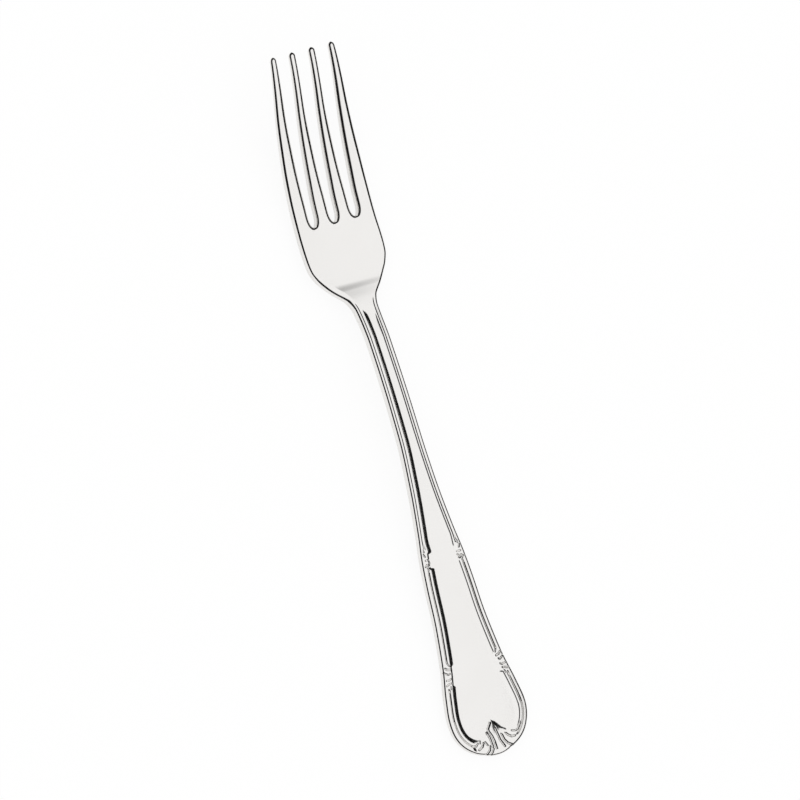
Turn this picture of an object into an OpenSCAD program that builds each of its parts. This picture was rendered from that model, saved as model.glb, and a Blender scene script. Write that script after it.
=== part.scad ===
// A four-tined table fork of polished metal with a double thread border and a shell.
// It lies face up on a table: X is across, Y runs from the handle end to the tips, Z is up.
// Every place along the fork is counted from the handle end and moved to the middle at the last.

/* [Fork] */
// Height of the upper face at the tips
tip_h = 13.9; // [10:0.1:16]
// Height of the upper face at the top of the stem's arch
arch_h = 7.5; // [6:0.1:9]

/* [Tines] */
// Length of the tines, from the slot ends to the tips
tine_l = 48.3; // [44:0.1:54]
// Width over the four tips
tips_w = 20.8; // [19.6:0.1:22]
// Distance between slot middles at the tips
tip_pitch = 6.38; // [6.26:0.02:6.54]
// Distance between slot middles at the slot ends
root_pitch = 6.82; // [6.6:0.02:7.04]
// Width of a slot at the tips
slot_tip_w = 4.45; // [4.1:0.05:4.8]
// Width of a slot just before its round end
slot_root_w = 2.7; // [2.3:0.05:3.2]
// Length of the round end of a slot
slot_end_l = 3.5; // [2.2:0.1:4.6]
// Thickness of a tine behind its tip
tip_t = 1.5; // [1:0.05:1.8]
// Length over which a tip is rounded
tip_round_l = 1.2; // [0.6:0.1:2]
// Radius along the edges of a tine
tine_edge_r = 0.5; // [0.2:0.05:0.55]

/* [Head] */
// Widest width of the head
head_w = 25.8; // [24.6:0.1:28]
// Length of the plate between the slot ends and the shoulders
plate_l = 14.9; // [12:0.1:17]
// Thickness of the plate
plate_t = 2.6; // [1.8:0.1:3]
// How much lower the middle of the head lies than its sides
dish_d = 0.7; // [0.2:0.05:1.2]
// Length of the flat on which the head rests
belly_flat_l = 6; // [3:0.5:8]
// Width of that flat
belly_flat_w = 5; // [3:0.5:8]

/* [Neck and stem] */
// Length of the stem, between the handle and the neck
stem_l = 28.1; // [20:0.1:45]
// Length of the neck, from the shoulders to the stem
neck_l = 20.7; // [17:0.1:25]
// Width of the stem at the neck
stem_w = 7.1; // [6.4:0.1:8]
// Width of the stem at the handle
stem_end_w = 7.5; // [6.4:0.1:8.4]
// Thickness of the stem
stem_t = 3.2; // [2.8:0.1:4]
// Radius along the lower edges of the stem
stem_under_r = 1.3; // [0.6:0.1:1.6]

/* [Handle] */
// Length of the handle with its round end
handle_l = 93; // [84:1:102]
// Widest width of the handle
handle_w = 25.5; // [22:0.1:29]
// Thickness of the handle
handle_t = 2.4; // [1.9:0.1:3]
// Radius along the lower edges of the handle
handle_under_r = 0.8; // [0.3:0.1:1.1]
// Length of the round end, from the widest place to the edge
end_l = 12.4; // [10:0.2:15]
// Thickness of the round end
end_t = 2.1; // [1.8:0.1:2.8]
// Length of the flat on which the round end rests
end_flat_l = 5.5; // [4:0.5:7]
// Width of the lobe of the edge under the shell
lobe_w = 8.4; // [6:0.2:11]
// How far that lobe stands out
lobe_d = 0.45; // [0.1:0.05:0.8]

/* [Border and shell] */
// Radius along the upper edges
edge_r = 0.5; // [0.2:0.05:0.6]
// Width of the outer thread on the handle
outer_thread_w = 1.5; // [1.1:0.05:1.8]
// Width of the inner thread on the handle
inner_thread_w = 1.05; // [0.6:0.05:1.3]
// Width of the outer thread on the stem
stem_outer_thread_w = 1.2; // [0.95:0.05:1.35]
// Width of the inner thread on the stem
stem_inner_thread_w = 0.9; // [0.5:0.05:1]
// Depth of the groove between the threads
groove_d = 0.3; // [0.1:0.05:0.45]
// How much lower the panel lies than the threads
panel_d = 0.5; // [0.2:0.05:0.8]
// Width of the slope from the inner thread to the panel
slope_w = 1.4; // [0.8:0.1:2]
// Number of flutes of the shell
shell_flutes = 7; // [5:2:11]
// Angle that the shell spans, seen from the middle of the round end
shell_angle = 58; // [40:1:70]
// Height of the shell's flutes over the panel
shell_h = 0.6; // [0.3:0.05:0.8]
// Length of the shell, from the edge inwards
shell_l = 8.6; // [6:0.1:9.5]

/* [Hidden] */

// Places along the fork, and its length
handle_at = handle_l;
handle_run = handle_at - end_l;
neck_at = handle_at + stem_l;
plate_at = neck_at + neck_l;
slot_at = plate_at + plate_l;
fork_l = slot_at + tine_l;
belly_at = plate_at + plate_l * 0.38;
belly_end_at = belly_at + belly_flat_l;
head_hw = head_w / 2;
root_hw = head_hw * 0.996;

// Outline shares: [share of the run, share of the way from the narrow to the wide width]
handle_outline_shares = [[0, 1], [0.082, 0.896], [0.176, 0.712], [0.256, 0.607], [0.36, 0.504],
                         [0.464, 0.452], [0.568, 0.368], [0.655, 0.251], [0.829, 0.084], [1, 0]];
neck_outline_shares = [[0, 0], [0.2, 0.002], [0.34, 0.008], [0.47, 0.024], [0.61, 0.128],
                       [0.68, 0.261], [0.75, 0.414], [0.88, 0.651]];
plate_outline_shares = [[0, 0.836], [0.22, 0.965], [0.42, 0.994], [0.62, 1]];
tine_outline_shares = [[0, 0], [0.12, 0.01], [0.29, 0.09], [0.46, 0.27], [0.63, 0.47],
                       [0.8, 0.7], [0.915, 0.865], [1, 1]];
slot_shares = [[0, 0], [0.12, 0], [0.29, 0.27], [0.46, 0.49], [0.63, 0.76], [0.8, 0.91], [1, 1]];

// Height shares: [share of the run, share of the rise]
tine_height_shares = [[0, 0.016], [0.12, 0.07], [0.29, 0.188], [0.46, 0.346], [0.63, 0.537],
                      [0.8, 0.779], [0.915, 0.922], [1, 1]];
neck_height_shares = [[0, 0.915], [0.2, 0.805], [0.47, 0.593], [0.61, 0.448], [0.75, 0.28],
                      [0.88, 0.12], [1, 0.04]];
handle_height_shares = [[0, 0.1], [0.094, 0.125], [0.31, 0.26], [0.568, 0.485], [0.829, 0.77]];
arch_shares = [[0, 0.943], [0.45, 1]];

// Thickness shares: [share of the run, share of the way between two thicknesses]
tine_thickness_shares = [[0.2, 0.93], [0.45, 0.8], [0.7, 0.5], [1, 0]];
neck_thickness_shares = [[0.35, 1], [0.61, 0.9], [0.75, 0.6], [0.9, 0.2]];

// Smooth curves through points
function mix(a, b, s) = a + (b - a) * s;
function clamped(s) = min(1, max(0, s));
function ease(s) = let (c = clamped(s)) c * c * (3 - 2 * c);
function side_slope(p, i) = (p[i + 1][1] - p[i][1]) / (p[i + 1][0] - p[i][0]);
function slope_at(p, i) =
    i == 0 ? side_slope(p, 0)
    : i == len(p) - 1 ? side_slope(p, i - 1)
    : let (before = side_slope(p, i - 1), after = side_slope(p, i))
      before * after <= 0 ? 0 : 2 * before * after / (before + after);
function span_of(p, at) = max([0, for (i = [0:len(p) - 2]) if (at >= p[i][0]) i]);
function curve(p, at) =
    let (i = span_of(p, at), run = p[i + 1][0] - p[i][0], s = (at - p[i][0]) / run,
         from = p[i][1], rise = p[i + 1][1] - from,
         m = slope_at(p, i) * run, n = slope_at(p, i + 1) * run)
    from + s * (m + s * (3 * rise - 2 * m - n + s * (m + n - 2 * rise)));

// Points of a table laid over a run that starts at a place, between two values
function laid(shares, at, run, low, high) =
    [for (s = shares) [at + run * s[0], mix(low, high, s[1])]];

// Half the width of the fork at a place
outline_points = concat(
    [[0, 0]],
    laid(handle_outline_shares, end_l, handle_run, stem_end_w / 2, handle_w / 2),
    laid(neck_outline_shares, neck_at, neck_l, stem_w / 2, head_hw),
    laid(plate_outline_shares, plate_at, plate_l, stem_w / 2, head_hw),
    laid(tine_outline_shares, slot_at, tine_l, root_hw, tips_w / 2));
function half_w(at) = curve(outline_points, at);

// Height of the upper face in the middle, at a place
height_points = concat(
    [[0, end_t], [end_flat_l, end_t]],
    laid(handle_height_shares, end_l, handle_run, end_t, arch_h),
    laid(arch_shares, handle_at, stem_l, plate_t, arch_h),
    laid(neck_height_shares, neck_at, neck_l, plate_t, arch_h),
    [[belly_at, plate_t], [belly_end_at, plate_t]],
    laid(tine_height_shares, slot_at, tine_l, plate_t, tip_h));
function top_z(at) = curve(height_points, at);

// Thickness at a place
thickness_points = concat(
    [[0, end_t], [end_flat_l, end_t], [end_l + handle_run * 0.1, handle_t],
     [end_l + handle_run * 0.4, handle_t], [handle_at, stem_t]],
    laid(neck_thickness_shares, neck_at, neck_l, plate_t, stem_t),
    [[belly_at, plate_t], [slot_at, plate_t]],
    laid(tine_thickness_shares, slot_at, tine_l, tip_t, plate_t));
function thickness(at) = curve(thickness_points, at);

// Radius along the upper edges at a place
function upper_r(at) = mix(edge_r, tine_edge_r, ease((at - plate_at) / plate_l));

// Radius along the lower edges at a place
under_points = [[0, handle_under_r], [end_l + handle_run * 0.4, handle_under_r],
                [handle_at, stem_under_r], [neck_at, stem_under_r], [plate_at, tine_edge_r],
                [fork_l, tine_edge_r]];
function under_r(at) = curve(under_points, at);

// The slots and the tines between them
function pitch(at) = mix(root_pitch, tip_pitch, (at - slot_at) / tine_l);
function slot_round(at) = let (s = clamped((at - slot_at) / slot_end_l)) sqrt(s * (2 - s));
function slot_w(at) =
    mix(slot_root_w, slot_tip_w, curve(slot_shares, (at - slot_at) / tine_l)) * slot_round(at);

// The rise of the head towards its sides, above and below
function head_share(at) = ease((at - neck_at) / neck_l);
function dish(x, at) = dish_d * head_share(at) * pow(x / head_hw, 2);
function under_dish(x, at) =
    let (flat = belly_flat_w / 2)
    dish_d * head_share(at) * pow(max(0, abs(x) - flat) / (head_hw - flat), 2);

// How far a round edge of radius r has dropped at a distance from the side
function drop(d, r) = d >= r ? 0 : r - sqrt(r * r - (r - d) * (r - d));

// Widths of the threads at a place: slim on the stem, full on the handle
thread_change_at = end_l + handle_run * 0.58;
thread_change_run = handle_run * 0.06;
function on_stem(at) = ease((at - thread_change_at) / thread_change_run);
function outer_thread(at) = mix(outer_thread_w, stem_outer_thread_w, on_stem(at));
function inner_thread(at) = mix(inner_thread_w, stem_inner_thread_w, on_stem(at));

// The threads and the lower panel fade out in the neck
thread_fade_at = neck_at + neck_l * 0.48;
panel_fade_at = neck_at + neck_l * 0.3;
fade_run = neck_l * 0.2;
function thread_share(at) = 1 - ease((at - thread_fade_at) / fade_run);
function panel_share(at) = 1 - ease((at - panel_fade_at) / fade_run);

// Distances of the columns of points from the side to the middle, where the border lies
function border_columns(hw, at) =
    let (outer = outer_thread(at), inner = inner_thread(at), crest = outer + inner * 0.8,
         slope = min(slope_w, (hw - crest) * 0.8), foot = crest + slope, rest = hw - foot)
    [0, edge_r / 4, edge_r, outer * 0.7, outer, outer + inner * 0.35, crest,
     crest + slope / 3, crest + slope * 2 / 3, foot, foot + rest / 3, foot + rest * 2 / 3, hw];

// How much lower than the rim each of those columns lies
panel_steps = [for (s = [0, 0, 0, 0, 0, 0, 0, 1 / 3, 2 / 3, 1, 1, 1, 1]) ease(s)];
groove_column = 4;
function border_relief(at) =
    [for (i = [0:len(panel_steps) - 1])
        -panel_d * panel_share(at) * panel_steps[i]
        - (i == groove_column ? groove_d * thread_share(at) : 0)];

// Distances of the columns across one tine of a given width
function tine_columns(w, r) = [0, r / 4, r, w / 2, w - r, w - r / 4, w];

// Distances of the columns where the plate meets the tines
function root_columns(hw) =
    concat(tine_columns(hw - root_pitch, tine_edge_r),
           [for (i = [1:6]) hw - root_pitch + tine_columns(root_pitch, tine_edge_r)[i]]);

// Across one half of the fork: [distance from the side, height above, height below]
function half_section(hw, at) =
    let (to_root = ease((at - plate_at) / plate_l), border = border_columns(hw, at),
         root = root_columns(hw), relief = border_relief(at))
    [for (i = [0:len(border) - 1])
        let (d = mix(border[i], root[i], to_root), x = hw - d)
        [d, top_z(at) + dish(x, at) + relief[i] - drop(d, upper_r(at)),
         top_z(at) - thickness(at) + under_dish(x, at) + drop(d, under_r(at))]];

// A closed ring of points at a place: above from left to right, below from right to left
function ring(at) =
    let (hw = half_w(at), half = half_section(hw, at), last = len(half) - 1, y = at - fork_l / 2,
         all = [for (i = [0:2 * last])
                    let (p = half[i <= last ? i : 2 * last - i], side = i <= last ? -1 : 1)
                    [side * (hw - p[0]), y, p[1], p[2]]])
    concat([for (p = all) [p[0], p[1], p[2]]],
           [for (i = [2 * last:-1:0]) [all[i][0], all[i][1], all[i][3]]]);

// The same ring across one tine that reaches from x0 to x1, with a slot on its right side
tip_end_share = 0.3;
tip_edge_share = 0.42;
function tip_share(at) =
    let (s = clamped((fork_l - at) / tip_round_l))
    sqrt(1 - (1 - s) * (1 - s) * (1 - tip_end_share * tip_end_share));
function tine_ring(at, x0, x1, outer) =
    let (full = tip_share(at), w = (x1 - x0) * full, from = (x0 + x1 - w) / 2,
         r = min(tine_edge_r, w * tip_edge_share, thickness(at) * full * tip_edge_share),
         columns = tine_columns(w, r), y = at - fork_l / 2,
         left = outer ? 1 : slot_round(at), right = slot_round(at),
         all = [for (d = columns)
                    let (x = from + d, up = top_z(at) + dish(x, at),
                         down = top_z(at) - thickness(at) + under_dish(x, at),
                         middle = (up + down) / 2, half = (up - down) / 2 * full,
                         cut = drop(d, r) * left + drop(w - d, r) * right)
                    [x, y, middle + half - cut, middle - half + cut]])
    concat([for (p = all) [p[0], p[1], p[2]]],
           [for (i = [len(all) - 1:-1:0]) [all[i][0], all[i][1], all[i][3]]]);

// A closed solid through rings of equal length, cut alike on the left and the right
function side_faces(rings, n) =
    [for (r = [0:rings - 2], i = [0:n - 1])
        let (a = r * n + i, b = r * n + (i + 1) % n, c = b + n, d = a + n,
             turned = i >= n / 4 - 1 && i < n * 3 / 4 - 1)
        each turned ? [[a, d, b], [b, d, c]] : [[a, d, c], [a, c, b]]];
function cap_faces(first, n, ahead) =
    [for (i = [0:n / 2 - 2])
        let (a = first + i, b = first + i + 1, c = first + n - 2 - i, d = first + n - 1 - i)
        each ahead ? [[a, d, c], [a, c, b]] : [[a, b, c], [a, c, d]]];
module loft(rings) {
    n = len(rings[0]);
    polyhedron(
        points = [for (r = rings) each r],
        faces = concat(side_faces(len(rings), n), cap_faces(0, n, false),
                       cap_faces((len(rings) - 1) * n, n, true)));
}

// Places spread evenly from one to another
function spread(from, to, steps) = [for (i = [0:steps]) mix(from, to, i / steps)];

module section_between(places) {
    loft([for (at = places) ring(at)]);
}

module root_plate() {
    color("silver")
    section_between(concat([plate_at, mix(plate_at, belly_at, 0.5)],
                           spread(belly_at, belly_end_at, 2),
                           [mix(belly_end_at, slot_at, 0.5), slot_at]));
}

module neck() {
    color("lightgray")
    section_between(spread(neck_at, plate_at, 20));
}

module stem() {
    color("gainsboro")
    section_between(spread(handle_at, neck_at, 8));
}

module handle() {
    color("silver")
    section_between(spread(end_l, handle_at, 26));
}

// Places along a tine: close together round the slot end and at the tip
tine_places = concat(
    [for (a = [0:15:75]) slot_at + slot_end_l * (1 - cos(a))],
    spread(slot_at + slot_end_l, fork_l - tip_round_l, 16),
    [for (s = [0.6, 0.3, 0.1, 0]) fork_l - tip_round_l * s]);

module outer_tine() {
    loft([for (at = tine_places)
        tine_ring(at, -half_w(at), -pitch(at) - slot_w(at) / 2, true)]);
}

module inner_tine() {
    loft([for (at = tine_places)
        tine_ring(at, -pitch(at) + slot_w(at) / 2, -slot_w(at) / 2, false)]);
}

module tine_outer_left() {
    color("silver") outer_tine();
}

module tine_inner_left() {
    color("gainsboro") inner_tine();
}

module tine_inner_right() {
    color("gainsboro") mirror([1, 0, 0]) inner_tine();
}

module tine_outer_right() {
    color("silver") mirror([1, 0, 0]) outer_tine();
}

// The round end: rays from the middle of its straight side, at angles from the end's middle
end_power = 2.2;
function end_reach(angle) =
    pow(pow(abs(sin(angle)) * 2 / handle_w, end_power)
        + pow(abs(cos(angle)) / (end_l - lobe_d), end_power), -1 / end_power);
function lobed_reach(angle) =
    let (reach = end_reach(angle), x = reach * sin(angle) * 2 / lobe_w)
    reach + lobe_d * max(0, 1 - x * x);

// How far a place on the round end belongs to the shell, and the height of its flutes
shell_soft_angle = 4;
function shell_share(angle, d) =
    ease((shell_angle / 2 + shell_soft_angle - abs(angle)) / shell_soft_angle)
    * ease((shell_l - d) / (shell_l * 0.3));
function shell_lift(angle) =
    let (wave = abs(sin(180 * (angle / shell_angle + 0.5) * shell_flutes)))
    abs(angle) < shell_angle / 2 ? shell_h * sqrt(wave) : 0;

function end_ray(angle) =
    let (reach = lobed_reach(angle), columns = border_columns(reach, end_l),
         relief = border_relief(end_l), last = len(columns) - 2,
         all = [for (i = [0:last])
                    let (d = columns[i], along = reach - d, at = end_l - along * cos(angle),
                         rise = mix(relief[i], shell_lift(angle) - panel_d, shell_share(angle, d)))
                    [along * sin(angle), at - fork_l / 2,
                     top_z(at) + rise - drop(d, edge_r),
                     top_z(at) - thickness(at) + drop(d, under_r(at))]])
    concat([for (i = [last:-1:0]) [all[i][0], all[i][1], all[i][2]]],
           [for (p = all) [p[0], p[1], p[3]]]);
flute_steps = 4;
shell_rays = shell_flutes * flute_steps;
end_rays = concat(
    spread(-90, -shell_angle / 2 - shell_soft_angle, 10),
    spread(-shell_angle / 2, shell_angle / 2, shell_rays),
    spread(shell_angle / 2 + shell_soft_angle, 90, 10));

module handle_end() {
    rays = [for (angle = end_rays) end_ray(angle)];
    n = len(rays[0]);
    top_pole = len(rays) * n;
    under_pole = top_pole + 1;
    poles = [[0, end_l - fork_l / 2, top_z(end_l) - panel_d],
             [0, end_l - fork_l / 2, top_z(end_l) - thickness(end_l)]];
    walls = [for (r = [0:len(rays) - 2], i = [0:n - 2])
        let (a = r * n + i, b = a + 1, c = b + n, d = a + n)
        each end_rays[r] >= 0 ? [[a, d, b], [b, d, c]] : [[a, d, c], [a, c, b]]];
    fans = [for (r = [0:len(rays) - 2])
        let (a = r * n, b = a + n)
        each [[a, top_pole, b], [b + n - 1, under_pole, a + n - 1]]];
    function cut(first, ahead) = [for (i = [0:n / 2 - 2])
        let (a = first + i, b = a + 1, c = first + n - 2 - i, d = c + 1)
        each ahead ? [[a, c, d], [a, b, c]] : [[a, d, c], [a, c, b]]];
    first_cut = concat(cut(0, true), [[top_pole, n - 1, under_pole], [top_pole, 0, n - 1]]);
    last = (len(rays) - 1) * n;
    last_cut = concat(cut(last, false),
                      [[top_pole, under_pole, last + n - 1], [top_pole, last + n - 1, last]]);
    color("gainsboro")
    polyhedron(points = concat([for (r = rays) each r], poles),
               faces = concat(walls, fans, first_cut, last_cut));
}

tine_outer_left();
tine_inner_left();
tine_inner_right();
tine_outer_right();
root_plate();
neck();
stem();
handle();
handle_end();
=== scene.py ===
# %% [markdown]
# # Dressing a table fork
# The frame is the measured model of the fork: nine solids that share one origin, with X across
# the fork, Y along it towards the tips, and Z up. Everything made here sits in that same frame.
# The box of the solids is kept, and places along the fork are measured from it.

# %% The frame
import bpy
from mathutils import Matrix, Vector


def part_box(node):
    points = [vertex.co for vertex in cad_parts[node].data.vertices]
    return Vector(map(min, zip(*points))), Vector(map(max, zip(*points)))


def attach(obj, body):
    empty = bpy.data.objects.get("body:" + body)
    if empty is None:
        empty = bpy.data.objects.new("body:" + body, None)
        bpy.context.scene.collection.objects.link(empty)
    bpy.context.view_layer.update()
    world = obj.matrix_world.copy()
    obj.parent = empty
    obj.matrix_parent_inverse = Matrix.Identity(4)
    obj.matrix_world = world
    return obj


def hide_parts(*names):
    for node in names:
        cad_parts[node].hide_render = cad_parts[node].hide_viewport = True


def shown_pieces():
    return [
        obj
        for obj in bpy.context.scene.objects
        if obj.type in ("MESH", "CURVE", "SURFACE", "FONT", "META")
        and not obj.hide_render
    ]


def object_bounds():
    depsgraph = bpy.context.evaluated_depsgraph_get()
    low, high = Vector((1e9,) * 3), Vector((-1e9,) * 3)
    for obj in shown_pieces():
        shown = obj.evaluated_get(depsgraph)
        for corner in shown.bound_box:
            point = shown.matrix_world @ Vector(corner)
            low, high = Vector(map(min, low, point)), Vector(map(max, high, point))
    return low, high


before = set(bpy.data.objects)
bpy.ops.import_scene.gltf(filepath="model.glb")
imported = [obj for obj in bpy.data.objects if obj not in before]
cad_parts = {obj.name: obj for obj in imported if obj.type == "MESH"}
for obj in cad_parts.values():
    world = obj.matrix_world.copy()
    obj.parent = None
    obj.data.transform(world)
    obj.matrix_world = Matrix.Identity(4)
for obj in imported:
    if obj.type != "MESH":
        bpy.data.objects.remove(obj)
cad_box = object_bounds()
print("solids:", len(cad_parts), "box:", [round(v, 4) for v in cad_box[1] - cad_box[0]])

# %% [markdown]
# Blender measures in metres, and a fork is drawn in millimetres, so one named factor turns one
# into the other. Places along the fork are counted from the end of the handle. They are read
# from the frame's solids, which keeps each new piece on the solid that it stands for.

# %% Places along the fork
import math
import bpy
import numpy as np

mm = 0.001
handle_end_y = cad_box[0].y


def end_of(node):
    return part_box(node)[1].y - handle_end_y


end_l = end_of("handle_end")
handle_at = end_of("handle")
neck_at = end_of("stem")
plate_at = end_of("neck")
slot_at = end_of("root_plate")
fork_l = cad_box[1].y - handle_end_y
handle_run = handle_at - end_l
stem_l = neck_at - handle_at
neck_l = plate_at - neck_at
plate_l = slot_at - plate_at
tine_l = fork_l - slot_at
print("fork", round(fork_l / mm, 1), "mm, tines", round(tine_l / mm, 1), "mm")

# %% [markdown]
# The outline and the side view are smooth curves through a few points. A curve that never
# overshoots its points keeps the edges fair, as a pattern maker's batten does. The points are
# the same shares that the solids use: a share of the run, and a share of the rise over it.

# %% Smooth curves through points
def curve(points, at):
    xs, ys = np.array(points, float).T
    sides = np.diff(ys) / np.diff(xs)
    slopes = np.concatenate(([sides[0]], np.zeros(len(xs) - 2), [sides[-1]]))
    before, after = sides[:-1], sides[1:]
    turning = before * after <= 0
    total = np.where(turning, 1, before + after)
    slopes[1:-1] = np.where(turning, 0, 2 * before * after / total)
    i = np.clip(np.searchsorted(xs, at, side="right") - 1, 0, len(xs) - 2)
    run = xs[i + 1] - xs[i]
    s = (at - xs[i]) / run
    rise = ys[i + 1] - ys[i]
    m, n = slopes[i] * run, slopes[i + 1] * run
    return ys[i] + s * (m + s * (3 * rise - 2 * m - n + s * (m + n - 2 * rise)))


def laid(shares, at, run, low, high):
    return [(at + run * share, low + (high - low) * rise) for share, rise in shares]


def ease(s):
    s = np.clip(s, 0, 1)
    return s * s * (3 - 2 * s)


def mix(a, b, s):
    return a + (b - a) * s


# %% [markdown]
# Seen from above the fork has a fiddle-shaped handle, a slim stem, a neck that swells into the
# shoulders, and a head that narrows a little towards the tips. One curve gives half of that
# width at every place, so that the pieces meet without a step.

# %% The outline
handle_w = 25.5 * mm
stem_end_w = 7.5 * mm
stem_w = 7.1 * mm
head_w = 25.79 * mm
tips_w = 20.8 * mm
head_hw = head_w / 2
root_hw = head_hw * 0.996

handle_outline = [(0, 1), (0.082, 0.896), (0.176, 0.712), (0.256, 0.607), (0.36, 0.504),
                  (0.464, 0.452), (0.568, 0.368), (0.655, 0.251), (0.829, 0.084), (1, 0)]
neck_outline = [(0, 0), (0.2, 0.002), (0.34, 0.008), (0.47, 0.024), (0.61, 0.128),
                (0.68, 0.261), (0.75, 0.414), (0.88, 0.651)]
plate_outline = [(0, 0.836), (0.22, 0.965), (0.42, 0.994), (0.62, 1)]
tine_outline = [(0, 0), (0.12, 0.01), (0.29, 0.09), (0.46, 0.27), (0.63, 0.47),
                (0.8, 0.7), (0.915, 0.865), (1, 1)]
outline_points = (
    [(0, 0)]
    + laid(handle_outline, end_l, handle_run, stem_end_w / 2, handle_w / 2)
    + laid(neck_outline, neck_at, neck_l, stem_w / 2, head_hw)
    + laid(plate_outline, plate_at, plate_l, stem_w / 2, head_hw)
    + laid(tine_outline, slot_at, tine_l, root_hw, tips_w / 2))


def half_w(at):
    return curve(outline_points, at)


print("half widths in mm:", np.round(half_w(np.linspace(end_l, fork_l, 9)) / mm, 1))

# %% [markdown]
# Seen from the side the fork rests on the belly of its head and on the end of its handle. The
# stem arches over the table and the tines rise to their tips. The metal is thick in the stem,
# where a fork bends in use, and thin in the handle and at the tips.

# %% The side view
tip_h = 13.9 * mm
arch_h = 7.5 * mm
plate_t = 2.6 * mm
end_t = 2.1 * mm
handle_t = 2.4 * mm
stem_t = 3.2 * mm
tip_t = 1.5 * mm
dish_d = 0.7 * mm
end_flat_l = 5.5 * mm
belly_at = plate_at + plate_l * 0.38
belly_end_at = belly_at + 6 * mm
belly_flat_hw = 2.5 * mm

tine_heights = [(0, 0.016), (0.12, 0.07), (0.29, 0.188), (0.46, 0.346), (0.63, 0.537),
                (0.8, 0.779), (0.915, 0.922), (1, 1)]
neck_heights = [(0, 0.915), (0.2, 0.805), (0.47, 0.593), (0.61, 0.448), (0.75, 0.28),
                (0.88, 0.12), (1, 0.04)]
handle_heights = [(0, 0.1), (0.094, 0.125), (0.31, 0.26), (0.568, 0.485), (0.829, 0.77)]
arch_heights = [(0, 0.943), (0.45, 1)]
height_points = (
    [(0, end_t), (end_flat_l, end_t)]
    + laid(handle_heights, end_l, handle_run, end_t, arch_h)
    + laid(arch_heights, handle_at, stem_l, plate_t, arch_h)
    + laid(neck_heights, neck_at, neck_l, plate_t, arch_h)
    + [(belly_at, plate_t), (belly_end_at, plate_t)]
    + laid(tine_heights, slot_at, tine_l, plate_t, tip_h))

tine_thickness = [(0.2, 0.93), (0.45, 0.8), (0.7, 0.5), (1, 0)]
neck_thickness = [(0.35, 1), (0.61, 0.9), (0.75, 0.6), (0.9, 0.2)]
thickness_points = (
    [(0, end_t), (end_flat_l, end_t), (end_l + handle_run * 0.1, handle_t),
     (end_l + handle_run * 0.4, handle_t), (handle_at, stem_t)]
    + laid(neck_thickness, neck_at, neck_l, plate_t, stem_t)
    + [(belly_at, plate_t), (slot_at, plate_t)]
    + laid(tine_thickness, slot_at, tine_l, tip_t, plate_t))


def top_z(at):
    return curve(height_points, at)


def thickness(at):
    return curve(thickness_points, at)


def dish(x, at):
    return dish_d * ease((at - neck_at) / neck_l) * (x / head_hw) ** 2


def under_dish(x, at):
    beyond = np.maximum(0, np.abs(x) - belly_flat_hw) / (head_hw - belly_flat_hw)
    return dish_d * ease((at - neck_at) / neck_l) * beyond ** 2


# %% [markdown]
# Two more lines are needed in plan: the round end of the handle, a flattened ellipse with a
# small lobe under the shell, and the slots between the tines, which end in a half round. The
# distance of a point to these lines decides how the edges round over and where the border lies.

# %% The round end and the slots
end_power = 2.2
lobe_hw = 4.2 * mm
lobe_d = 0.45 * mm
tip_pitch = 6.38 * mm
root_pitch = 6.82 * mm
slot_tip_w = 4.35 * mm
slot_root_w = 2.6 * mm
slot_end_l = 2.9 * mm
slot_end_power = 0.42
tip_round_l = 1.2 * mm
slot_widths = [(0, 0), (0.12, 0), (0.29, 0.27), (0.46, 0.49), (0.63, 0.76), (0.8, 0.91), (1, 1)]
far_off = 1.0
batch = 2000


def end_reach(angle):
    across = np.abs(np.sin(angle)) / (handle_w / 2)
    along = np.abs(np.cos(angle)) / (end_l - lobe_d)
    reach = (across ** end_power + along ** end_power) ** (-1 / end_power)
    return reach + lobe_d * np.maximum(0, 1 - (reach * np.sin(angle) / lobe_hw) ** 2)


def pitch(at):
    return mix(root_pitch, tip_pitch, (at - slot_at) / tine_l)


def slot_hw(at):
    s = np.clip((at - slot_at) / slot_end_l, 0, 1)
    share = curve(slot_widths, (at - slot_at) / tine_l)
    return mix(slot_root_w, slot_tip_w, share) / 2 * (s * (2 - s)) ** slot_end_power


def tine_places(fine):
    turns = np.radians(np.linspace(0, 90, 10 * fine + 1))
    round_end = slot_at + slot_end_l * (1 - np.cos(turns))
    straight = np.linspace(slot_at + slot_end_l, fork_l - tip_round_l, 80 * fine)
    tip = fork_l - tip_round_l * (1 - np.sin(turns))
    return np.concatenate((round_end, straight[1:-1], tip))


def edge_distance(x, at, lines):
    best = np.full(len(x), far_off)
    for line in lines:
        a, run = line[:-1], np.diff(line, axis=0)
        length2 = (run ** 2).sum(1)
        for first in range(0, len(x), batch):
            part = slice(first, first + batch)
            p = np.stack((x[part], at[part]), 1)[:, None, :] - a
            share = np.clip((p * run).sum(2) / length2, 0, 1)
            far = np.hypot(*np.moveaxis(p - share[..., None] * run, 2, 0)).min(1)
            best[part] = np.minimum(best[part], far)
    return best


side_places = np.linspace(end_l, fork_l, 500)
side_line = np.stack((half_w(side_places), side_places), 1)
end_turns = np.radians(np.linspace(0, 90, 240))
end_line = np.stack((end_reach(end_turns) * np.sin(end_turns),
                     end_l - end_reach(end_turns) * np.cos(end_turns)), 1)
near_slots = tine_places(4)[:60]
middle_slot = np.stack((slot_hw(near_slots), near_slots), 1)
side_slot_in = np.stack((pitch(near_slots) - slot_hw(near_slots), near_slots), 1)
side_slot_out = np.stack((pitch(near_slots) + slot_hw(near_slots), near_slots), 1)
print("round end reaches", round(end_reach(0.0) / mm, 2), "mm")

# %% [markdown]
# The border of the handle is two threads side by side, with a groove between them, and then a
# soft slope down to the plain panel. It is slim on the stem and full on the handle, and it
# fades out in the neck, where the metal swells into the head. The slope grows faint towards the
# round end. Two scrolls interrupt the threads on each side. Each is given as its middle, how far
# it reaches ahead and behind, and the width of its body, which falls away to the panel more
# steeply on the left than on the right.

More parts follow.
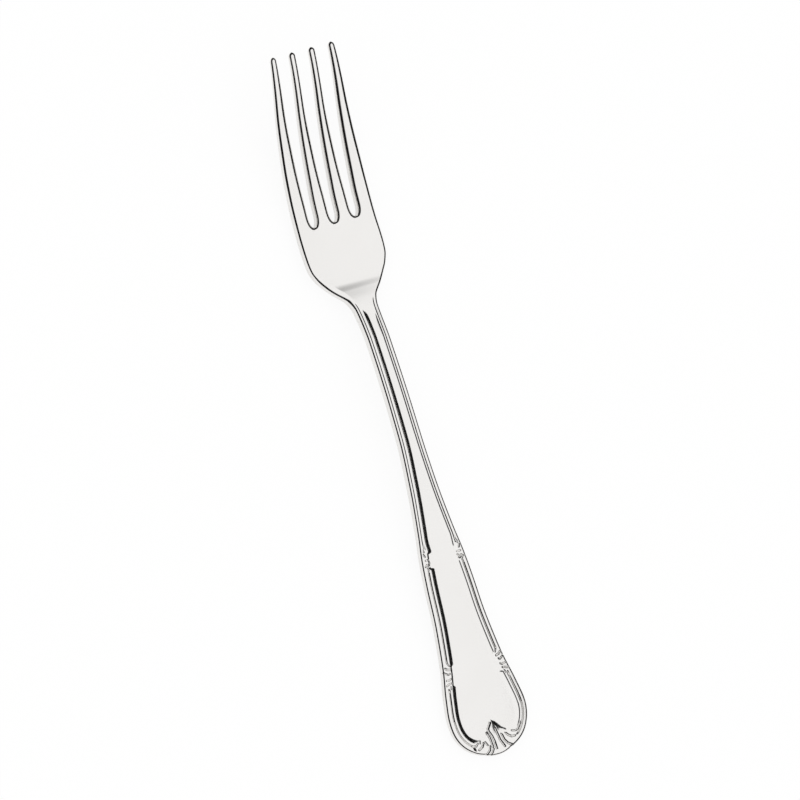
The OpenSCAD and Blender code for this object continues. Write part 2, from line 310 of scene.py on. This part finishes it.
# %% The border
outer_thread_w = 1.65 * mm
inner_thread_w = 0.88 * mm
stem_outer_thread_w = 1.2 * mm
stem_inner_thread_w = 0.65 * mm
groove_d = 0.3 * mm
groove_hw = 0.32 * mm
stem_groove_d = 0.13 * mm
stem_groove_hw = 0.42 * mm
steep_w = 0.25 * mm
steepness = 0.95
soft_w = 1.35 * mm
softness = 0.55
bend_w = 0.1 * mm
least_soft_w = 0.1 * mm
slope_room_share = 0.85
panel_in = 10 * mm
scroll_slope_w = 0.65 * mm
faint_scroll_slope_w = 1.8 * mm
faint_slope_w = 4.2 * mm
faint_slope_at = 7.6 * mm
faint_slope_run = 3.4 * mm
low_scroll_at = 24.9 * mm
high_scroll_at = 57.6 * mm
scrolls = [(low_scroll_at, 2.9 * mm, 2.8 * mm, 2.55 * mm),
           (high_scroll_at, 2.2 * mm, 2.2 * mm, 2.05 * mm)]
scroll_soft_w = 0.8 * mm
thread_stop_behind = 0.7 * mm
thread_stop_ahead = 1 * mm
thread_change_at = end_l + handle_run * 0.58
thread_change_run = handle_run * 0.06
thread_fade_at = neck_at + neck_l * 0.36
panel_fade_at = neck_at + neck_l * 0.24
thread_fade_run = neck_l * 0.3
panel_fade_run = neck_l * 0.26


def dip(distance, hw):
    return 0.5 + 0.5 * np.cos(np.pi * np.clip(distance / hw, -1, 1))


def threads_at(at):
    on_stem = ease((at - thread_change_at) / thread_change_run)
    outer = mix(outer_thread_w, stem_outer_thread_w, on_stem)
    inner = mix(inner_thread_w, stem_inner_thread_w, on_stem)
    return (outer, inner, mix(groove_d, stem_groove_d, on_stem),
            mix(groove_hw, stem_groove_hw, on_stem))


def slope_drop(past_crest, room):
    soft = np.maximum(least_soft_w, np.minimum(soft_w, room - steep_w))
    bend = np.clip(past_crest, 0, bend_w)
    steep = np.clip(past_crest - bend_w, 0, steep_w - bend_w)
    easing = np.clip(past_crest - steep_w, 0, soft)
    return (steepness * (bend * bend / (2 * bend_w) + steep)
            + softness * (easing - easing * easing / (2 * soft)))


def border(x, edge, at, hw):
    outer, inner, depth, half = threads_at(at)
    threads = 1 - ease((at - thread_fade_at) / thread_fade_run)
    panel = 1 - ease((at - panel_fade_at) / panel_fade_run)
    crest = outer + inner
    room = (hw - crest) * slope_room_share
    whole = slope_drop(panel_in, room)
    faint = whole * ease((edge - crest) / faint_slope_w)
    slope = mix(slope_drop(edge - crest, room), faint,
                ease((faint_slope_at - at) / faint_slope_run))
    body_slope_w = np.where(x < 0, scroll_slope_w, faint_scroll_slope_w)
    for middle, ahead, behind, body_w in scrolls:
        start, stop = middle - behind, middle + ahead
        stopped = between(at, start - thread_stop_behind, stop + thread_stop_ahead)
        threads = threads * (1 - stopped)
        body = whole * ease((edge - body_w) / body_slope_w)
        slope = mix(slope, body, between(at, start, stop))
    return -threads * depth * dip(edge - outer, half) - panel * slope


def between(at, start, stop):
    return (ease((at - start) / scroll_soft_w + 0.5)
            * ease((stop - at) / scroll_soft_w + 0.5))


# %% [markdown]
# The border is broken by two pairs of small scrolls, and at the round end it meets a shell. An
# engraver cuts such things into the die as short strokes. Each stroke here is a line of a few
# points with a width and a depth. A scroll's points are given as a distance from the edge and a
# distance from the scroll's middle, so the same strokes serve on both sides. The shell stands a
# little below the threads on its left, and falls away gently to the panel on its right.

# %% Strokes of the engraver
low_scroll = [
    ([(0.15, -1.6), (0.93, -1.15), (1.75, -0.7), (2.2, -0.9)], 0.3, 0.26),
    ([(1.65, -4.1), (2.0, -3.4), (2.4, -2.9)], 0.28, 0.22),
    ([(0.83, -2.65), (1.5, -2.15), (2.5, -1.9)], 0.36, 0.32),
    ([(1.0, 0.75), (1.9, 0.84), (2.5, 0.6)], 0.3, 0.28),
    ([(0.86, 2.2), (1.66, 1.9), (2.4, 1.8)], 0.3, 0.28),
    ([(2.2, 3.4), (2.25, 2.75)], 0.28, 0.22),
    ([(1.65, 4.2), (1.45, 3.3)], 0.28, 0.22)]
high_scroll = [
    ([(1.2, -3.6), (1.15, -2.8)], 0.28, 0.2),
    ([(0.9, -2.2), (1.3, -1.5)], 0.3, 0.26),
    ([(1.35, -0.4), (2.4, -0.4)], 0.32, 0.3),
    ([(0.95, 1.25), (1.5, 0.8), (2.1, 0.85), (2.7, 0.5)], 0.3, 0.28),
    ([(2.4, 1.6), (2.6, 1.3)], 0.26, 0.2),
    ([(1.65, 2.6), (1.9, 1.4), (1.5, 1.75)], 0.28, 0.22)]
shell_strokes = [
    ([(-0.1, 9.2), (-0.65, 8.5), (-1.27, 7.8), (-1.27, 7.2), (-0.6, 5.6), (-0.3, 3.9),
      (-0.3, 1.6)], 0.42, 0.32),
    ([(-1.95, 6.8), (-1.5, 5.3), (-1.3, 2.6)], 0.4, 0.3),
    ([(1.05, 7.5), (1.37, 5.3), (1.5, 3.9), (2.3, 1.8)], 0.42, 0.32),
    ([(2.55, 5.2), (2.75, 3.6), (3.5, 2.4), (4.8, 1.5)], 0.42, 0.32),
    ([(3.9, 5.2), (4.4, 4.5), (5.25, 3.9), (6.3, 3.8)], 0.4, 0.3),
    ([(-5.8, 2.9), (-4.5, 3.5), (-3.9, 4.4)], 0.4, 0.32),
    ([(-3.3, 4.5), (-2.8, 3.5)], 0.34, 0.28),
    ([(-4.0, 0.9), (-2.6, 1.9), (-2.1, 3.0)], 0.38, 0.3),
    ([(-2.9, 0.3), (-1.9, 1.2), (-1.3, 2.0)], 0.34, 0.28),
    ([(-4.8, 5.3), (-4.95, 4.6)], 0.3, 0.24),
    ([(9.2, 6.9), (8.6, 6.2), (8.0, 5.5), (7.0, 5.1), (5.9, 5.4)], 0.34, 0.26),
    ([(-7.6, 4.4), (-6.4, 4.1), (-5.7, 4.7)], 0.32, 0.26)]
shell_low = 0.2 * mm
shell_slope_w = 1.3 * mm
shell_hw = 8 * mm
shell_side_w = 1.6 * mm
shell_fall_at = -1 * mm
shell_fall_w = 5 * mm
shell_fall_edge = 1 * mm
shell_fall_l = 6.5 * mm
shell_top = [(-12, 3.9), (-6.5, 4.6), (-4, 5.2), (-2.3, 6.2), (-1.3, 7.9), (0.3, 9.6),
             (1.4, 8.9), (2.9, 7.4), (4.4, 6.1), (6.5, 5.6), (8.4, 4.6), (12, 3.9)]


def cut_strokes(x, at, strokes):
    relief = np.zeros(len(x))
    for line, half, depth in strokes:
        points = np.array(line) * mm
        near = np.abs(at - points[:, 1].mean()) < np.ptp(points[:, 1]) / 2 + 2 * half * mm
        far = edge_distance(x[near], at[near], [points])
        relief[near] = np.minimum(relief[near], -depth * mm * dip(far, half * mm))
    return relief


def scroll_strokes(strokes, middle):
    placed = []
    for line, half, depth in strokes:
        ats = [middle / mm - along for from_edge, along in line]
        placed.append(([(half_w(at * mm) / mm - from_edge, at)
                        for (from_edge, along), at in zip(line, ats)], half, depth))
    return placed


def shell_share(x, at):
    xs, tops = np.array(shell_top).T * mm
    over = np.interp(x, xs, tops) - at
    return ease(over / shell_slope_w + 0.5) * ease((shell_hw - np.abs(x)) / shell_side_w)


def shell_drop(x, edge):
    whole = slope_drop(panel_in, panel_in)
    fall = whole * ease((edge - shell_fall_edge) / shell_fall_l)
    return mix(shell_low, fall, ease((x - shell_fall_at) / shell_fall_w))


print("strokes:", len(low_scroll) + len(high_scroll), "on each side and",
      len(shell_strokes), "in the shell")

# %% [markdown]
# Each piece starts as a blank: a flat sheet of the piece's own size, cut into fine squares and
# given its thickness by one extrusion, as a fork starts as a blank cut from plate. The die is
# a formula. It takes every point of the blank to its place across and along the fork, and to
# the height that the upper or the lower face has there. A formula is used because a mirror
# polish shows every flat spot that shaping by hand would leave.

# %% Blanks and the die
upper_r_points = [(0, 0.75 * mm), (handle_at, 0.7 * mm), (neck_at + neck_l * 0.35, 0.75 * mm),
                  (plate_at, 0.9 * mm), (slot_at, 1.15 * mm),
                  (slot_at + tine_l * 0.45, 1.4 * mm), (fork_l, 1.0 * mm)]
under_r_points = [(0, 0.8 * mm), (end_l + handle_run * 0.4, 0.8 * mm), (handle_at, 1.3 * mm),
                  (neck_at, 1.3 * mm), (plate_at, 0.5 * mm), (fork_l, 0.5 * mm)]
merge_w = 0.0005 * mm
smooth_angle = math.radians(40)


def drop(edge, width, depth):
    inside = np.clip((width - edge) / width, 0, 1)
    return depth * (1 - np.sqrt(1 - inside ** 2))


def make_blank(name, x0, x1, at0, at1, across, along):
    bpy.ops.object.select_all(action="DESELECT")
    bpy.ops.mesh.primitive_grid_add(x_subdivisions=across, y_subdivisions=along, size=1)
    piece = bpy.context.object
    piece.name = name
    piece.data.name = name
    bpy.ops.object.mode_set(mode="EDIT")
    bpy.ops.mesh.select_all(action="SELECT")
    bpy.ops.transform.resize(value=(x1 - x0, at1 - at0, 1))
    bpy.ops.transform.translate(
        value=((x0 + x1) / 2, (at0 + at1) / 2 + handle_end_y, plate_t))
    bpy.ops.mesh.extrude_region_move(TRANSFORM_OT_translate={"value": (0, 0, -plate_t)})
    bpy.ops.object.mode_set(mode="OBJECT")
    return piece


def shares_of(piece, x0, x1, at0, at1):
    points = np.empty(len(piece.data.vertices) * 3, np.float32)
    piece.data.vertices.foreach_get("co", points)
    x, y, z = points.reshape(-1, 3).T.astype(float)
    return (x - x0) / (x1 - x0), (y - handle_end_y - at0) / (at1 - at0), z > plate_t / 2


def press(piece, x, at, z):
    points = np.stack((x, at + handle_end_y, z), 1).astype(np.float32)
    piece.data.vertices.foreach_set("co", points.ravel())
    piece.data.update()


def finish_piece(piece, *nodes):
    bpy.ops.object.select_all(action="DESELECT")
    piece.select_set(True)
    bpy.context.view_layer.objects.active = piece
    bpy.ops.object.mode_set(mode="EDIT")
    bpy.ops.mesh.select_all(action="SELECT")
    bpy.ops.mesh.remove_doubles(threshold=merge_w)
    bpy.ops.mesh.normals_make_consistent(inside=False)
    bpy.ops.object.mode_set(mode="OBJECT")
    bpy.ops.object.shade_smooth_by_angle(angle=smooth_angle)
    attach(piece, "root")
    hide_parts(*nodes)
    piece.data.calc_loop_triangles()
    print(piece.name, "has", len(piece.data.loop_triangles), "triangles")


# %% [markdown]
# Columns of points are close together along the edges, where the metal rounds over and carries
# its border, and wide apart over the plain panel. That spends the points where they show. The
# upper edge is rounder along the left shoulder, where the photograph shows a broad dark line.

# %% Columns from edge to edge
shoulder_at = plate_at - 4.5 * mm
shoulder_hw = 7 * mm
shoulder_r = 1.1 * mm
border_w = 4.3 * mm
border_share = 0.66
border_room_share = 0.72
even_share = 0.45
upper_deep_share = 0.52
under_deep_share = 0.4
touching = 0.0001 * mm


def across_from_edge(share, hw):
    band = np.minimum(border_w, hw * border_room_share)
    t = np.clip(share / border_share, 0, 1)
    over = np.clip((share - border_share) / (1 - border_share), 0, 1)
    return band * (even_share * t + (1 - even_share) * t * t) + (hw - band) * over


def across(share, hw):
    side = np.sign(share - 0.5)
    from_edge = across_from_edge(1 - np.abs(share - 0.5) * 2, hw)
    return side * (hw - from_edge)


def both_faces(x, at, edge, relief, upper, round_w):
    deep = thickness(at)
    round_w = round_w + shoulder_r * (x < 0) * dip(at - shoulder_at, shoulder_hw)
    top = top_z(at) + dish(x, at)
    under = top_z(at) - deep + under_dish(x, at)
    under_r = curve(under_r_points, at)
    up = top + relief - drop(edge, round_w, np.minimum(round_w, deep * upper_deep_share))
    down = under + drop(edge, under_r, np.minimum(under_r, deep * under_deep_share))
    return np.where(upper, up, down)


# %% [markdown]
# The handle is the long plain part with the border on both sides. It is pressed from one
# blank, from the widest place up to the stem. The stem and the neck are made in the same way,
# so one function makes all three, with more points where the outline turns quickly.

# %% The handle, the stem and the neck
def make_length(name, node, at0, at1, columns, rows, ornament=(), ends=((0, 1), (0, 1))):
    widest = max(half_w(np.linspace(at0, at1, 50)))
    piece = make_blank(name, -widest, widest, at0, at1, columns, rows)
    share, along, upper = shares_of(piece, -widest, widest, at0, at1)
    at = mix(at0, at1, np.interp(along, *ends))
    hw = half_w(at)
    x = across(share, hw)
    edge = edge_distance(np.abs(x), at, [side_line])
    edge[np.abs(x) > hw - touching] = 0
    relief = border(x, edge, at, hw) + cut_strokes(np.abs(x), at, ornament)
    z = both_faces(x, at, edge, relief, upper, curve(upper_r_points, at))
    press(piece, x, at, z)
    finish_piece(piece, node)


row_shares = (0, 0.13, 0.34, 0.56, 0.79, 1)
row_places = (0, (low_scroll_at - 4.3 * mm - end_l) / handle_run,
              (low_scroll_at + 4.3 * mm - end_l) / handle_run,
              (high_scroll_at - 4 * mm - end_l) / handle_run,
              (high_scroll_at + 4 * mm - end_l) / handle_run, 1)
make_length(
    "handle_dressed", "handle", end_l, handle_at, 110, 400,
    scroll_strokes(low_scroll, low_scroll_at) + scroll_strokes(high_scroll, high_scroll_at),
    (row_shares, row_places))
make_length("stem_dressed", "stem", handle_at, neck_at, 80, 90)
make_length("neck_dressed", "neck", neck_at, plate_at, 110, 130)

# %% [markdown]
# The plate joins the shoulders to the tines. Its upper edge also rounds over at the three slot
# ends, which touch its front, so the distance to the slots counts as well as to the sides.

# %% The plate
edge_crowding = 1.2


def make_plate():
    piece = make_blank("plate_dressed", -head_hw, head_hw, plate_at, slot_at, 200, 100)
    share, along, upper = shares_of(piece, -head_hw, head_hw, plate_at, slot_at)
    at = mix(plate_at, slot_at, along)
    hw = half_w(at)
    x = hw * np.sin((share - 0.5) * 2 * edge_crowding) / math.sin(edge_crowding)
    edge = edge_distance(np.abs(x), at, [side_line, middle_slot, side_slot_in, side_slot_out])
    edge[np.abs(x) > hw - touching] = 0
    z = both_faces(x, at, edge, 0, upper, curve(upper_r_points, at))
    press(piece, x, at, z)
    finish_piece(piece, "root_plate")


make_plate()

# %% [markdown]
# A tine is a slim bar, rounder towards its tip, where a polisher takes off more metal. Its
# outline runs along the slots, so the rows of points are close together at the slot's round
# end and at the tip. One function makes a tine between two lines, and the tines on the right
# are mirror images of those on the left.

# %% The tines
tine_round_share = 0.96
least_full = 0.01
touching_share = 1e-6


def make_tine(name, node, left_x, right_x, side):
    piece = make_blank(name, -1 * mm, 1 * mm, slot_at, fork_l, 30, 240)
    share, along, upper = shares_of(piece, -1 * mm, 1 * mm, slot_at, fork_l)
    places = tine_places(2)
    at = np.interp(along, np.linspace(0, 1, len(places)), places)
    s = np.clip((fork_l - at) / tip_round_l, 0, 1)
    full = np.maximum(least_full, np.sqrt(s * (2 - s)))
    left, right = left_x(at), right_x(at)
    middle, hw = (left + right) / 2, (right - left) / 2
    x = middle + hw * full * np.sin((share - 0.5) * np.pi)
    line_at = places
    line_s = np.clip((fork_l - line_at) / tip_round_l, 0, 1)
    line_hw = (right_x(line_at) - left_x(line_at)) / 2 * np.sqrt(line_s * (2 - line_s))
    line_middle = (right_x(line_at) + left_x(line_at)) / 2
    left_line = np.stack((line_middle - line_hw, line_at), 1)
    right_line = np.stack((line_middle + line_hw, line_at), 1)
    edge = edge_distance(x, at, [left_line, right_line])
    edge[(share < touching_share) | (share > 1 - touching_share)] = 0
    round_w = np.minimum(curve(upper_r_points, at), hw * tine_round_share)
    z = both_faces(x, at, edge, 0, upper, round_w)
    core = top_z(at) + dish(x, at) - thickness(at) / 2
    z = core + (z - core) * full
    press(piece, side * x, at, z)
    finish_piece(piece, node)


def outer_left(at):
    return -half_w(at)


def outer_right(at):
    return -pitch(at) - slot_hw(at)


def inner_left(at):
    return -pitch(at) + slot_hw(at)


def inner_right(at):
    return -slot_hw(at)


make_tine("tine_outer_left_dressed", "tine_outer_left", outer_left, outer_right, 1)
make_tine("tine_inner_left_dressed", "tine_inner_left", inner_left, inner_right, 1)
make_tine("tine_inner_right_dressed", "tine_inner_right", inner_left, inner_right, -1)
make_tine("tine_outer_right_dressed", "tine_outer_right", outer_left, outer_right, -1)

# %% [markdown]
# The round end is pressed from a blank whose rows become rings round the middle of its
# straight side. The border then follows the round edge evenly.

# %% The round end of the handle
side_points_near = 40


def make_end():
    hw = handle_w / 2
    piece = make_blank("handle_end_dressed", -hw, hw, 0, end_l, 300, 110)
    share, along, upper = shares_of(piece, -hw, hw, 0, end_l)
    angle = np.radians(180 * (share - 0.5))
    reach = end_reach(angle)
    ring = reach - across_from_edge(along, reach)
    x, at = ring * np.sin(angle), end_l - ring * np.cos(angle)
    edge = edge_distance(np.abs(x), at, [end_line, side_line[:side_points_near]])
    edge[along < touching_share] = 0
    relief = (mix(border(x, edge, at, hw), -shell_drop(x, edge), shell_share(x, at))
              + cut_strokes(x, at, shell_strokes))
    z = both_faces(x, at, edge, relief, upper, curve(upper_r_points, at))
    press(piece, x, at, z)
    finish_piece(piece, "handle_end")


make_end()

# %% [markdown]
# The fork is steel, polished like a mirror all over. A mirror has no colour of its own, so the
# material is a bare metal with a slightly warm grey. Use leaves very fine scratches, most of
# them along the fork, and they soften the reflections unevenly.

# %% Polished steel
def make_steel():
    steel = bpy.data.materials.new("polished_steel")
    steel.use_nodes = True
    nodes, links = steel.node_tree.nodes, steel.node_tree.links
    shader = nodes["Principled BSDF"]
    shader.inputs["Metallic"].default_value = 1.0
    place = nodes.new("ShaderNodeTexCoord")
    stretch = nodes.new("ShaderNodeMapping")
    stretch.inputs["Scale"].default_value = (1.0, 0.08, 1.0)
    links.new(place.outputs["Object"], stretch.inputs["Vector"])
    scratches = nodes.new("ShaderNodeTexNoise")
    scratches.inputs["Scale"].default_value = 9000.0
    scratches.inputs["Detail"].default_value = 3.0
    links.new(stretch.outputs["Vector"], scratches.inputs["Vector"])
    handling = nodes.new("ShaderNodeTexNoise")
    handling.inputs["Scale"].default_value = 90.0
    handling.inputs["Detail"].default_value = 4.0
    links.new(place.outputs["Object"], handling.inputs["Vector"])
    wear = nodes.new("ShaderNodeMath")
    wear.operation = "MULTIPLY"
    links.new(scratches.outputs["Fac"], wear.inputs[0])
    links.new(handling.outputs["Fac"], wear.inputs[1])
    rough = nodes.new("ShaderNodeMapRange")
    rough.inputs["From Min"].default_value = 0.1
    rough.inputs["From Max"].default_value = 0.45
    rough.inputs["To Min"].default_value = 0.07
    rough.inputs["To Max"].default_value = 0.16
    links.new(wear.outputs["Value"], rough.inputs["Value"])
    links.new(rough.outputs["Result"], shader.inputs["Roughness"])
    tint = nodes.new("ShaderNodeValToRGB")
    tint.color_ramp.elements[0].color = (0.84, 0.825, 0.805, 1)
    tint.color_ramp.elements[1].color = (0.89, 0.88, 0.865, 1)
    links.new(handling.outputs["Fac"], tint.inputs["Fac"])
    links.new(tint.outputs["Color"], shader.inputs["Base Color"])
    bump = nodes.new("ShaderNodeBump")
    bump.inputs["Strength"].default_value = 0.02
    bump.inputs["Distance"].default_value = 0.00002
    links.new(scratches.outputs["Fac"], bump.inputs["Height"])
    links.new(bump.outputs["Normal"], shader.inputs["Normal"])
    return steel


steel = make_steel()
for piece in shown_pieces():
    piece.data.materials.clear()
    piece.data.materials.append(steel)

# %% [markdown]
# The fork lies on a plain white table that reaches out of the picture. Its shadow is faint,
# because white light comes from all round.

# %% The table
table_w = 12
table_gap = 0.2 * mm
shadow_share = 0.12
mirrored_glow = 0.6


def make_table_material():
    white = bpy.data.materials.new("table_white")
    white.use_nodes = True
    nodes, links = white.node_tree.nodes, white.node_tree.links
    shader = nodes["Principled BSDF"]
    shader.inputs["Base Color"].default_value = (0.98, 0.98, 0.975, 1)
    shader.inputs["Roughness"].default_value = 0.9
    shader.inputs["Specular IOR Level"].default_value = 0.0
    glow = nodes.new("ShaderNodeEmission")
    glow.inputs["Strength"].default_value = 1.0
    seen = nodes.new("ShaderNodeLightPath")
    mirrored = nodes.new("ShaderNodeMath")
    mirrored.operation = "MULTIPLY"
    mirrored.inputs[1].default_value = mirrored_glow
    links.new(seen.outputs["Is Glossy Ray"], mirrored.inputs[0])
    amount = nodes.new("ShaderNodeMath")
    amount.operation = "MULTIPLY_ADD"
    amount.inputs[1].default_value = 1 - shadow_share
    links.new(seen.outputs["Is Camera Ray"], amount.inputs[0])
    links.new(mirrored.outputs["Value"], amount.inputs[2])
    blend = nodes.new("ShaderNodeMixShader")
    links.new(amount.outputs["Value"], blend.inputs["Fac"])
    links.new(shader.outputs["BSDF"], blend.inputs[1])
    links.new(glow.outputs["Emission"], blend.inputs[2])
    links.new(blend.outputs["Shader"], nodes["Material Output"].inputs["Surface"])
    return white


bpy.ops.object.select_all(action="DESELECT")
bpy.ops.mesh.primitive_plane_add(size=table_w, location=(0, 0, -table_gap))
table = bpy.context.object
table.name = "white_table"
table.data.materials.append(make_table_material())

# %% [markdown]
# A polished thing is lit by what it mirrors. The white world is the studio's big soft light.
# Round it stands a dark hood with one wide window overhead, which only reflections see. The
# flat faces mirror the window and look white, and the steep sides of edges and grooves mirror
# the hood and look black, which draws the shape.

# %% The light and the dark hood
window_tilt = math.radians(14)
window_lean = math.radians(-5)
window_half = math.radians(44)
window_soft = math.radians(8)
hood_r = 1.2
hood_glow = 0.015


def make_world():
    world = bpy.data.worlds.new("white_studio")
    bpy.context.scene.world = world
    world.use_nodes = True
    back = world.node_tree.nodes["Background"]
    back.inputs["Color"].default_value = (1, 1, 1, 1)
    back.inputs["Strength"].default_value = 1.0


def make_hood_material():
    dark = bpy.data.materials.new("dark_hood")
    dark.use_nodes = True
    nodes, links = dark.node_tree.nodes, dark.node_tree.links
    nodes.remove(nodes["Principled BSDF"])
    glow = nodes.new("ShaderNodeEmission")
    place = nodes.new("ShaderNodeTexCoord")
    toward = nodes.new("ShaderNodeVectorMath")
    toward.operation = "DOT_PRODUCT"
    toward.inputs[1].default_value = (
        math.sin(window_tilt) * math.cos(window_lean) / hood_r,
        math.sin(window_lean) / hood_r,
        math.cos(window_tilt) * math.cos(window_lean) / hood_r)
    links.new(place.outputs["Object"], toward.inputs[0])
    window = nodes.new("ShaderNodeMapRange")
    window.interpolation_type = "SMOOTHSTEP"
    window.inputs["From Min"].default_value = math.cos(window_half + window_soft)
    window.inputs["From Max"].default_value = math.cos(window_half - window_soft)
    window.inputs["To Min"].default_value = hood_glow
    window.inputs["To Max"].default_value = 1.0
    links.new(toward.outputs["Value"], window.inputs["Value"])
    links.new(window.outputs["Result"], glow.inputs["Strength"])
    links.new(glow.outputs["Emission"], nodes["Material Output"].inputs["Surface"])
    return dark


make_world()
bpy.ops.object.select_all(action="DESELECT")
bpy.ops.mesh.primitive_uv_sphere_add(segments=96, ring_count=48, radius=hood_r)
hood = bpy.context.object
hood.name = "dark_hood"
bpy.ops.object.shade_smooth()
hood.data.materials.append(make_hood_material())
hood.visible_camera = False
hood.visible_diffuse = False
hood.visible_transmission = False
hood.visible_volume_scatter = False
hood.visible_shadow = False

# %% [markdown]
# A photographer also lays black card beside shiny ware. A strip stands on each side of the
# fork, and only reflections see it. It makes the edge lines of the raised tines broad and black.

# %% The black cards
card_x = 45 * mm
card_h = 60 * mm
card_t = 1 * mm
card_l = 500 * mm


def stand_card(name, x):
    bpy.ops.object.select_all(action="DESELECT")
    bpy.ops.mesh.primitive_cube_add(size=1, location=(x, 0, card_h / 2))
    card = bpy.context.object
    card.name = name
    card.scale = (card_t, card_l, card_h)
    bpy.ops.object.transform_apply(location=False, rotation=False, scale=True)
    card.data.materials.append(card_material)
    card.visible_camera = False
    card.visible_diffuse = False
    card.visible_shadow = False


card_material = bpy.data.materials.new("black_card")
card_material.use_nodes = True
paint = card_material.node_tree.nodes["Principled BSDF"]
paint.inputs["Base Color"].default_value = (0.01, 0.01, 0.01, 1)
paint.inputs["Roughness"].default_value = 0.9
paint.inputs["Specular IOR Level"].default_value = 0.0
stand_card("black_card_left", -card_x)
stand_card("black_card_right", card_x)

# %% [markdown]
# The photograph was taken from the fork's left side, with a long lens that hardly makes the
# near end larger. The camera stands far off, and its place follows from the tilt round the
# fork's long axis, a roll that lays the fork across the picture, and the point aimed at.

# %% The camera
from mathutils import Matrix, Vector

picture_px = 800
sensor_w_mm = 36
camera_tilt = math.radians(28)
camera_pitch = math.radians(-1)
camera_roll = math.radians(17.26)
camera_far = 2.5
px_per_m = 3558
aim_right_px = 11.3
aim_up_px = 6.6


def make_camera():
    c, s = math.cos(camera_tilt), math.sin(camera_tilt)
    level_right = Vector((c, 0, s))
    level_back = Vector((-s, 0, c)) * math.cos(camera_pitch)
    level_back.y = math.sin(camera_pitch)
    level_up = level_back.cross(level_right)
    right = level_right * math.cos(camera_roll) - level_up * math.sin(camera_roll)
    up = level_right * math.sin(camera_roll) + level_up * math.cos(camera_roll)
    aim = right * (aim_right_px / px_per_m) + up * (aim_up_px / px_per_m)
    place = aim + level_back * camera_far
    lens = bpy.data.cameras.new("camera")
    lens.sensor_width = sensor_w_mm
    lens.lens = px_per_m * camera_far / picture_px * lens.sensor_width
    lens.clip_start, lens.clip_end = 0.1, 20
    camera = bpy.data.objects.new("camera", lens)
    bpy.context.scene.collection.objects.link(camera)
    camera.matrix_world = Matrix((
        (right.x, up.x, level_back.x, place.x),
        (right.y, up.y, level_back.y, place.y),
        (right.z, up.z, level_back.z, place.z),
        (0, 0, 0, 1)))
    bpy.context.scene.camera = camera
    print("lens", round(lens.lens), "mm")


make_camera()
bpy.context.scene.view_settings.view_transform = "Standard"
